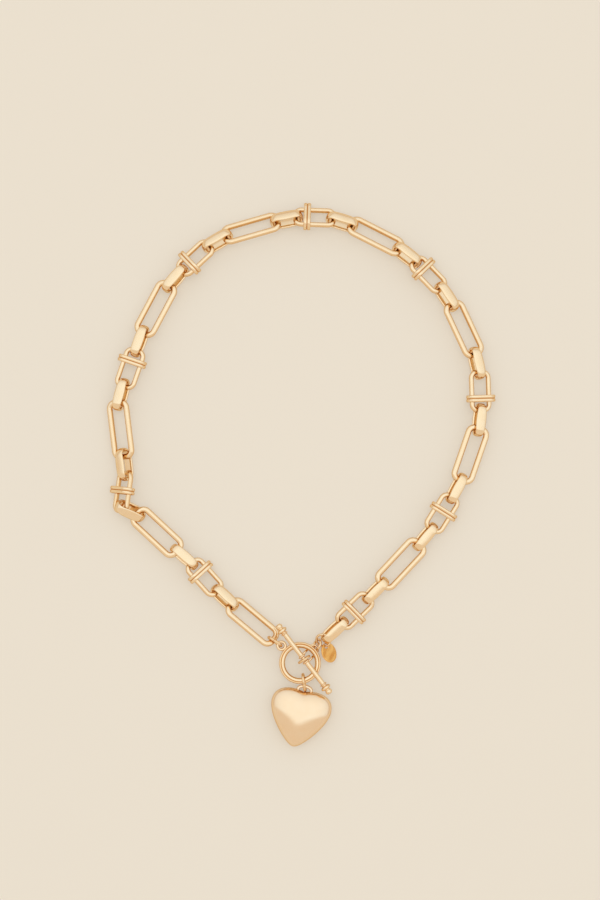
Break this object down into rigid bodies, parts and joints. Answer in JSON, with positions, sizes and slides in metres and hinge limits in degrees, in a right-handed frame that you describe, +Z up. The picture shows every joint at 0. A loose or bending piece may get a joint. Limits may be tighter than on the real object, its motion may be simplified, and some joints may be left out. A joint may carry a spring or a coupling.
{
  "type": "pendant necklace",
  "caption": "Gold-coloured toggle necklace of long, band and collared stirrup links, clasped by a bar through a ring, with a puffed heart and a small blank tag.",
  "frame": {"origin": "middle of the necklace's outline, on the table it lies on", "axes": "+X across the necklace, +Y from the clasp towards the back of the loop, +Z up off the table"},
  "size_m": [0.1522, 0.2132, 0.0102],
  "materials": {
    "chain_gold": "polished gold plating",
    "heart_gold": "mirror-polished gold plating",
    "tag_gold": "polished, deeper gold plating"
  },
  "bodies": {
    "toggle_ring": {"toggle_ring": "chain_gold"},
    "eye_jump_ring": {"eye_jump_ring": "chain_gold"},
    "long_link_1": {"long_link_1": "chain_gold"},
    "band_link_1": {"band_link_1": "chain_gold"},
    "stirrup_link_1": {"stirrup_link_1": "chain_gold"},
    "band_link_2": {"band_link_2": "chain_gold"},
    "long_link_2": {"long_link_2": "chain_gold"},
    "band_link_3": {"band_link_3": "chain_gold"},
    "stirrup_link_2": {"stirrup_link_2": "chain_gold"},
    "band_link_4": {"band_link_4": "chain_gold"},
    "long_link_3": {"long_link_3": "chain_gold"},
    "band_link_5": {"band_link_5": "chain_gold"},
    "stirrup_link_3": {"stirrup_link_3": "chain_gold"},
    "band_link_6": {"band_link_6": "chain_gold"},
    "long_link_4": {"long_link_4": "chain_gold"},
    "band_link_7": {"band_link_7": "chain_gold"},
    "stirrup_link_4": {"stirrup_link_4": "chain_gold"},
    "band_link_8": {"band_link_8": "chain_gold"},
    "long_link_5": {"long_link_5": "chain_gold"},
    "band_link_9": {"band_link_9": "chain_gold"},
    "stirrup_link_5": {"stirrup_link_5": "chain_gold"},
    "band_link_10": {"band_link_10": "chain_gold"},
    "long_link_6": {"long_link_6": "chain_gold"},
    "band_link_11": {"band_link_11": "chain_gold"},
    "stirrup_link_6": {"stirrup_link_6": "chain_gold"},
    "band_link_12": {"band_link_12": "chain_gold"},
    "long_link_7": {"long_link_7": "chain_gold"},
    "band_link_13": {"band_link_13": "chain_gold"},
    "stirrup_link_7": {"stirrup_link_7": "chain_gold"},
    "band_link_14": {"band_link_14": "chain_gold"},
    "long_link_8": {"long_link_8": "chain_gold"},
    "band_link_15": {"band_link_15": "chain_gold"},
    "stirrup_link_8": {"stirrup_link_8": "chain_gold"},
    "band_link_16": {"band_link_16": "chain_gold"},
    "long_link_9": {"long_link_9": "chain_gold"},
    "band_link_17": {"band_link_17": "chain_gold"},
    "stirrup_link_9": {"stirrup_link_9": "chain_gold"},
    "band_link_18": {"band_link_18": "chain_gold"},
    "end_ring": {"end_ring": "chain_gold"},
    "side_ring": {"side_ring": "chain_gold"},
    "link_ring": {"link_ring": "chain_gold"},
    "bar_ring": {"bar_ring": "chain_gold"},
    "toggle_bar": {"toggle_bar": "chain_gold"},
    "tag": {"tag": "tag_gold"},
    "heart_jump_ring": {"heart_jump_ring": "chain_gold"},
    "collar_1": {"collar_1": "chain_gold"},
    "collar_2": {"collar_2": "chain_gold"},
    "collar_3": {"collar_3": "chain_gold"},
    "collar_4": {"collar_4": "chain_gold"},
    "collar_5": {"collar_5": "chain_gold"},
    "collar_6": {"collar_6": "chain_gold"},
    "collar_7": {"collar_7": "chain_gold"},
    "collar_8": {"collar_8": "chain_gold"},
    "collar_9": {"collar_9": "chain_gold"},
    "heart": {"heart_front": "heart_gold", "heart_back": "heart_gold", "heart_bail": "heart_gold"}
  },
  "joints": [
    {"name": "hook_00", "type": "hinge", "parent": "toggle_ring", "child": "eye_jump_ring", "pos_m": [-0.00812, -0.06642, 0.00478], "axis": [0.9707, -0.0635, -0.2317], "range_deg": [-12, 12]},
    {"name": "hook_01", "type": "hinge", "parent": "eye_jump_ring", "child": "long_link_1", "pos_m": [-0.0111, -0.06474, 0.0034], "axis": [-0.9982, 0.011, 0.0589], "range_deg": [-12, 12]},
    {"name": "hook_02", "type": "hinge", "parent": "long_link_1", "child": "band_link_1", "pos_m": [-0.02607, -0.05172, 0.00423], "axis": [0.9457, -0.3234, 0.0313], "range_deg": [-8, 12]},
    {"name": "hook_03", "type": "hinge", "parent": "band_link_1", "child": "stirrup_link_1", "pos_m": [-0.03364, -0.04466, 0.00423], "axis": [-0.971, 0.2392, -0.0011], "range_deg": [-12, 12]},
    {"name": "hook_04", "type": "hinge", "parent": "stirrup_link_1", "child": "band_link_2", "pos_m": [-0.04183, -0.03556, 0.00423], "axis": [0.9808, -0.1951, 0.0009], "range_deg": [-12, 10]},
    {"name": "hook_05", "type": "hinge", "parent": "band_link_2", "child": "long_link_2", "pos_m": [-0.04965, -0.02876, 0.00423], "axis": [-0.9881, 0.1541, -0.0007], "range_deg": [-4, 12]},
    {"name": "hook_06", "type": "hinge", "parent": "long_link_2", "child": "band_link_3", "pos_m": [-0.06251, -0.01602, 0.00333], "axis": [0.9937, -0.112, 0.0088], "range_deg": [-12, 5]},
    {"name": "hook_07", "type": "hinge", "parent": "band_link_3", "child": "stirrup_link_2", "pos_m": [-0.07049, -0.01272, 0.00524], "axis": [-0.9981, 0.0613, 0.0078], "range_deg": [-11, 12]},
    {"name": "hook_08", "type": "hinge", "parent": "stirrup_link_2", "child": "band_link_4", "pos_m": [-0.06859, -0.00102, 0.00429], "axis": [0.9976, -0.0693, 0], "range_deg": [-12, 12]},
    {"name": "hook_09", "type": "hinge", "parent": "band_link_4", "child": "long_link_3", "pos_m": [-0.06955, 0.00866, 0.00429], "axis": [-0.9975, 0.0703, 0], "range_deg": [-12, 12]},
    {"name": "hook_10", "type": "hinge", "parent": "long_link_3", "child": "band_link_5", "pos_m": [-0.07179, 0.02652, 0.00429], "axis": [0.9976, -0.0695, 0], "range_deg": [-12, 12]},
    {"name": "hook_11", "type": "hinge", "parent": "band_link_5", "child": "stirrup_link_3", "pos_m": [-0.06891, 0.03593, 0.00429], "axis": [-0.9978, 0.0661, 0], "range_deg": [-12, 12]},
    {"name": "hook_12", "type": "hinge", "parent": "stirrup_link_3", "child": "band_link_6", "pos_m": [-0.06493, 0.0475, 0.00429], "axis": [0.998, -0.0634, 0], "range_deg": [-12, 12]},
    {"name": "hook_13", "type": "hinge", "parent": "band_link_6", "child": "long_link_4", "pos_m": [-0.06118, 0.05694, 0.00429], "axis": [-0.998, 0.0628, 0], "range_deg": [-12, 12]},
    {"name": "hook_14", "type": "hinge", "parent": "long_link_4", "child": "band_link_7", "pos_m": [-0.05264, 0.07298, 0.00429], "axis": [0.9978, -0.0664, 0], "range_deg": [-12, 12]},
    {"name": "hook_15", "type": "hinge", "parent": "band_link_7", "child": "stirrup_link_4", "pos_m": [-0.04585, 0.0808, 0.00429], "axis": [-0.9978, 0.067, 0], "range_deg": [-12, 12]},
    {"name": "hook_16", "type": "hinge", "parent": "stirrup_link_4", "child": "band_link_8", "pos_m": [-0.0372, 0.08895, 0.00429], "axis": [0.9973, -0.073, 0], "range_deg": [-12, 12]},
    {"name": "hook_17", "type": "hinge", "parent": "band_link_8", "child": "long_link_5", "pos_m": [-0.02842, 0.09403, 0.00429], "axis": [-0.9974, 0.0721, 0], "range_deg": [-12, 12]},
    {"name": "hook_18", "type": "hinge", "parent": "long_link_5", "child": "band_link_9", "pos_m": [-0.01074, 0.0991, 0.00429], "axis": [0.9989, -0.0465, 0], "range_deg": [-12, 12]},
    {"name": "hook_19", "type": "hinge", "parent": "band_link_9", "child": "stirrup_link_5", "pos_m": [-0.00077, 0.10108, 0.00429], "axis": [-0.9994, 0.0358, 0], "range_deg": [-12, 12]},
    {"name": "hook_20", "type": "hinge", "parent": "stirrup_link_5", "child": "band_link_10", "pos_m": [0.01117, 0.10065, 0.00429], "axis": [-0.9994, 0.0358, 0], "range_deg": [-12, 12]},
    {"name": "hook_21", "type": "hinge", "parent": "band_link_10", "child": "long_link_6", "pos_m": [0.02107, 0.09762, 0.00429], "axis": [0.9989, -0.0465, 0], "range_deg": [-12, 12]},
    {"name": "hook_22", "type": "hinge", "parent": "long_link_6", "child": "band_link_11", "pos_m": [0.03747, 0.08927, 0.00429], "axis": [-0.9974, 0.0721, 0], "range_deg": [-12, 12]},
    {"name": "hook_23", "type": "hinge", "parent": "band_link_11", "child": "stirrup_link_6", "pos_m": [0.04563, 0.08289, 0.00429], "axis": [0.9973, -0.073, 0], "range_deg": [-12, 12]},
    {"name": "hook_24", "type": "hinge", "parent": "stirrup_link_6", "child": "band_link_12", "pos_m": [0.05413, 0.07409, 0.00429], "axis": [-0.9978, 0.067, 0], "range_deg": [-12, 12]},
    {"name": "hook_25", "type": "hinge", "parent": "band_link_12", "child": "long_link_7", "pos_m": [0.05993, 0.0655, 0.00429], "axis": [0.9978, -0.0664, 0], "range_deg": [-12, 12]},
    {"name": "hook_26", "type": "hinge", "parent": "long_link_7", "child": "band_link_13", "pos_m": [0.0677, 0.04882, 0.00429], "axis": [-0.998, 0.0628, 0], "range_deg": [-12, 12]},
    {"name": "hook_27", "type": "hinge", "parent": "band_link_13", "child": "stirrup_link_7", "pos_m": [0.07003, 0.03893, 0.00429], "axis": [0.998, -0.0634, 0], "range_deg": [-12, 12]},
    {"name": "hook_28", "type": "hinge", "parent": "stirrup_link_7", "child": "band_link_14", "pos_m": [0.07046, 0.02669, 0.00429], "axis": [-0.9978, 0.0661, 0], "range_deg": [-12, 12]},
    {"name": "hook_29", "type": "hinge", "parent": "band_link_14", "child": "long_link_8", "pos_m": [0.06938, 0.01669, 0.00429], "axis": [0.9976, -0.0695, 0], "range_deg": [-12, 12]},
    {"name": "hook_30", "type": "hinge", "parent": "long_link_8", "child": "band_link_15", "pos_m": [0.06339, -0.00071, 0.00429], "axis": [-0.9975, 0.0703, 0], "range_deg": [-12, 12]},
    {"name": "hook_31", "type": "hinge", "parent": "band_link_15", "child": "stirrup_link_8", "pos_m": [0.05852, -0.00985, 0.00429], "axis": [0.9976, -0.0693, 0], "range_deg": [-12, 12]},
    {"name": "hook_32", "type": "hinge", "parent": "stirrup_link_8", "child": "band_link_16", "pos_m": [0.05204, -0.02023, 0.00429], "axis": [-0.9981, 0.0613, 0.0078], "range_deg": [-12, 11]},
    {"name": "hook_33", "type": "hinge", "parent": "band_link_16", "child": "long_link_9", "pos_m": [0.04538, -0.02817, 0.00429], "axis": [0.9937, -0.112, 0.0088], "range_deg": [-5, 12]},
    {"name": "hook_34", "type": "hinge", "parent": "long_link_9", "child": "band_link_17", "pos_m": [0.03283, -0.04163, 0.00429], "axis": [-0.9881, 0.1541, -0.0007], "range_deg": [-12, 4]},
    {"name": "hook_35", "type": "hinge", "parent": "band_link_17", "child": "stirrup_link_9", "pos_m": [0.0255, -0.04895, 0.00429], "axis": [0.9808, -0.1951, 0.0009], "range_deg": [-10, 12]},
    {"name": "hook_36", "type": "hinge", "parent": "stirrup_link_9", "child": "band_link_18", "pos_m": [0.0171, -0.05716, 0.00429], "axis": [-0.971, 0.2392, -0.0011], "range_deg": [-12, 12]},
    {"name": "hook_37", "type": "hinge", "parent": "band_link_18", "child": "end_ring", "pos_m": [0.01035, -0.06417, 0.00543], "axis": [0.9457, -0.3234, 0.0313], "range_deg": [-12, 8]},
    {"name": "hook_38", "type": "hinge", "parent": "end_ring", "child": "side_ring", "pos_m": [0.00654, -0.06493, 0.00236], "axis": [-0.9982, 0.011, 0.0589], "range_deg": [-12, 12]},
    {"name": "hook_39", "type": "hinge", "parent": "side_ring", "child": "link_ring", "pos_m": [0.00528, -0.0673, 0.00158], "axis": [0.9707, -0.0635, -0.2317], "range_deg": [-12, 12]},
    {"name": "bar_ring_hinge", "type": "hinge", "parent": "link_ring", "child": "bar_ring", "pos_m": [0.00124, -0.07211, 0.00433], "axis": [-0.7193, 0.6947, 0], "range_deg": [-8, 8]},
    {"name": "bar_swivel", "type": "hinge", "parent": "bar_ring", "child": "toggle_bar", "pos_m": [0.00118, -0.07195, 0.00708], "axis": [0, 0, 1], "range_deg": [-5, 6]},
    {"name": "tag_swing", "type": "hinge", "parent": "end_ring", "child": "tag", "pos_m": [0.00984, -0.0672, 0.00302], "axis": [0.5915, 0.2188, 0.7761], "range_deg": [-12, 12]},
    {"name": "heart_ring_swing", "type": "hinge", "parent": "toggle_ring", "child": "heart_jump_ring", "pos_m": [0.00108, -0.08055, 0.00478], "axis": [0.9785, 0.206, 0], "range_deg": [-12, 12]},
    {"name": "heart_swing", "type": "hinge", "parent": "heart_jump_ring", "child": "heart", "pos_m": [0.00172, -0.08433, 0.00446], "axis": [-0.0338, -0.2326, 0.972], "range_deg": [-10, 10]},
    {"name": "collar_slide_1", "type": "slide", "parent": "stirrup_link_1", "child": "collar_1", "axis": [-0.6691, 0.7431, 0], "range_m": [-0.003, 0.0007]},
    {"name": "collar_slide_2", "type": "slide", "parent": "stirrup_link_2", "child": "collar_2", "axis": [0.1388, 0.9879, -0.0698], "range_m": [-0.0021, 0.0027]},
    {"name": "collar_slide_3", "type": "slide", "parent": "stirrup_link_3", "child": "collar_3", "axis": [0.3256, 0.9455, 0], "range_m": [-0.003, 0.0005]},
    {"name": "collar_slide_4", "type": "slide", "parent": "stirrup_link_4", "child": "collar_4", "axis": [0.7314, 0.682, 0], "range_m": [-0.0005, 0.003]},
    {"name": "collar_slide_5", "type": "slide", "parent": "stirrup_link_5", "child": "collar_5", "axis": [0.9994, -0.0349, 0], "range_m": [-0.0003, 0.003]},
    {"name": "collar_slide_6", "type": "slide", "parent": "stirrup_link_6", "child": "collar_6", "axis": [0.6947, -0.7193, 0], "range_m": [-0.0005, 0.003]},
    {"name": "collar_slide_7", "type": "slide", "parent": "stirrup_link_7", "child": "collar_7", "axis": [0.0349, -0.9994, 0], "range_m": [-0.003, 0.0005]},
    {"name": "collar_slide_8", "type": "slide", "parent": "stirrup_link_8", "child": "collar_8", "axis": [-0.5299, -0.848, 0], "range_m": [-0.0025, 0.003]},
    {"name": "collar_slide_9", "type": "slide", "parent": "stirrup_link_9", "child": "collar_9", "axis": [-0.7193, -0.6947, 0], "range_m": [-0.003, 0.0023]}
  ],
  "couplings": [
    {"joint": "hook_20", "follows": "hook_19", "ratio": -1},
    {"joint": "hook_21", "follows": "hook_18", "ratio": -1},
    {"joint": "hook_22", "follows": "hook_17", "ratio": -1},
    {"joint": "hook_23", "follows": "hook_16", "ratio": -1},
    {"joint": "hook_24", "follows": "hook_15", "ratio": -1},
    {"joint": "hook_25", "follows": "hook_14", "ratio": -1},
    {"joint": "hook_26", "follows": "hook_13", "ratio": -1},
    {"joint": "hook_27", "follows": "hook_12", "ratio": -1},
    {"joint": "hook_28", "follows": "hook_11", "ratio": -1},
    {"joint": "hook_29", "follows": "hook_10", "ratio": -1},
    {"joint": "hook_30", "follows": "hook_09", "ratio": -1},
    {"joint": "hook_31", "follows": "hook_08", "ratio": -1},
    {"joint": "hook_32", "follows": "hook_07", "ratio": -1},
    {"joint": "hook_33", "follows": "hook_06", "ratio": -1},
    {"joint": "hook_34", "follows": "hook_05", "ratio": -1},
    {"joint": "hook_35", "follows": "hook_04", "ratio": -1},
    {"joint": "hook_36", "follows": "hook_03", "ratio": -1},
    {"joint": "hook_37", "follows": "hook_02", "ratio": -1},
    {"joint": "hook_38", "follows": "hook_01", "ratio": -1},
    {"joint": "hook_39", "follows": "hook_00", "ratio": -1}
  ]
}
